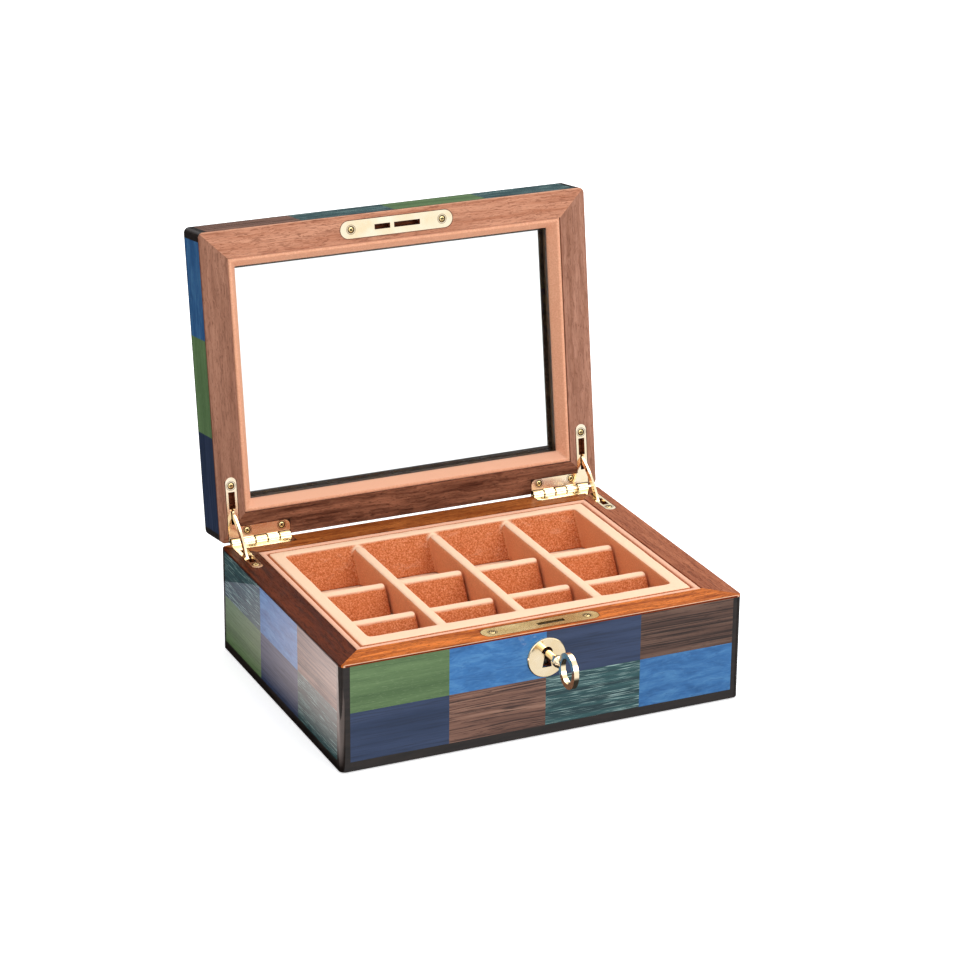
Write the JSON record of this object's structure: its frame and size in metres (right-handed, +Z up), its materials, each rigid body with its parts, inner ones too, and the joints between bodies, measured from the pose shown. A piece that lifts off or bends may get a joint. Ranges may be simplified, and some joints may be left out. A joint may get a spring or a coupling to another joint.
{
  "type": "cufflink display box",
  "caption": "Lockable box with a glazed hinged lid, patchwork veneer, quadrant hinges with stays, a box lock with its key, and a lift-out divided tray.",
  "frame": {"origin": "centre of the underside of the base, on the surface it stands on", "axes": "+X to the right along the front, +Y from the front to the hinges, +Z up"},
  "size_m": [0.22, 0.2462, 0.222],
  "materials": {
    "mahogany": "polished mahogany under clear high-gloss lacquer",
    "black_lacquer": "ebonised strips under clear high-gloss lacquer",
    "veneer_green": "green-dyed straight-grained veneer under high-gloss lacquer",
    "veneer_blue": "blue-dyed veneer under high-gloss lacquer",
    "veneer_navy": "slate-navy-dyed veneer under high-gloss lacquer",
    "veneer_walnut": "dark walnut veneer under high-gloss lacquer",
    "veneer_teal": "dark teal-dyed veneer with pale streaks under high-gloss lacquer",
    "suede": "peach microsuede over board and padding",
    "felt": "black baize",
    "brass": "polished brass",
    "steel": "folded steel lock case",
    "glass": "clear float glass"
  },
  "bodies": {
    "base": {"base_felt": "felt", "base_bottom_panel": "mahogany", "base_plinth": "black_lacquer", "base_front_wall": "mahogany", "base_back_wall": "mahogany", "base_left_wall": "mahogany", "base_right_wall": "mahogany", "base_corner_posts": "black_lacquer", "base_rim_long_strips": "mahogany", "base_rim_side_strips": "mahogany", "base_veneer_green": "veneer_green", "base_veneer_blue": "veneer_blue", "base_veneer_navy": "veneer_navy", "base_veneer_walnut": "veneer_walnut", "base_veneer_teal": "veneer_teal", "base_floor_lining": "suede", "base_lining": "suede", "tray_ledge": "suede", "left_hinge_base_leaf": "brass", "right_hinge_base_leaf": "brass", "left_hinge_pin": "brass", "right_hinge_pin": "brass", "base_hinge_screws": "brass", "lock_plate_screws": "brass", "lock_plate": "brass", "escutcheon": "brass", "lock_case": "steel"},
    "lid": {"lid_front_rail": "mahogany", "lid_back_rail": "mahogany", "lid_left_rail": "mahogany", "lid_right_rail": "mahogany", "lid_corner_posts": "black_lacquer", "lid_face_long_strips": "mahogany", "lid_face_side_strips": "mahogany", "lid_stringing": "black_lacquer", "lid_veneer_green": "veneer_green", "lid_veneer_blue": "veneer_blue", "lid_veneer_navy": "veneer_navy", "lid_veneer_walnut": "veneer_walnut", "lid_veneer_teal": "veneer_teal", "lid_glass_rebate": "black_lacquer", "lid_glass_bead": "black_lacquer", "lid_glass": "glass", "lid_suede_moulding": "suede", "left_hinge_lid_leaf": "brass", "right_hinge_lid_leaf": "brass", "lid_hinge_screws": "brass", "strike_plate": "brass", "strike_plate_screws": "brass"},
    "left_stay": {"left_stay": "brass"},
    "right_stay": {"right_stay": "brass"},
    "tray": {"tray_floor": "suede", "tray_walls": "suede", "tray_long_dividers": "suede", "tray_cross_dividers": "suede", "tray_back_wedges": "suede"},
    "lock_follower": {"lock_follower": "brass"},
    "lock_bolt": {"lock_bolt": "brass"},
    "key": {"key": "brass"}
  },
  "joints": [
    {"name": "lid_hinge", "type": "hinge", "parent": "base", "child": "lid", "pos_m": [0, 0.083, 0.05815], "axis": [1, 0, 0], "range_deg": [0, 98]},
    {"name": "left_stay_swing", "type": "hinge", "parent": "base", "child": "left_stay", "pos_m": [-0.102, 0.083, 0.05815], "axis": [1, 0, 0], "range_deg": [0, 49]},
    {"name": "right_stay_swing", "type": "hinge", "parent": "base", "child": "right_stay", "pos_m": [0.102, 0.083, 0.05815], "axis": [1, 0, 0], "range_deg": [0, 49]},
    {"name": "tray_lift", "type": "slide", "parent": "base", "child": "tray", "axis": [0, 0, 1], "range_m": [0, 0.085]},
    {"name": "key_turn", "type": "hinge", "parent": "base", "child": "lock_follower", "pos_m": [0, -0.079, 0.046], "axis": [0, 1, 0], "range_deg": [0, 90]},
    {"name": "bolt_lift", "type": "slide", "parent": "base", "child": "lock_bolt", "axis": [0, 0, 1], "range_m": [0, 0.005]},
    {"name": "key_pull", "type": "slide", "parent": "lock_follower", "child": "key", "axis": [0, -1, 0], "range_m": [0, 0.03]}
  ],
  "couplings": [
    {"joint": "left_stay_swing", "follows": "lid_hinge", "ratio": 0.5},
    {"joint": "right_stay_swing", "follows": "lid_hinge", "ratio": 0.5},
    {"joint": "bolt_lift", "follows": "key_turn", "m_per_rad": 0.003183}
  ]
}
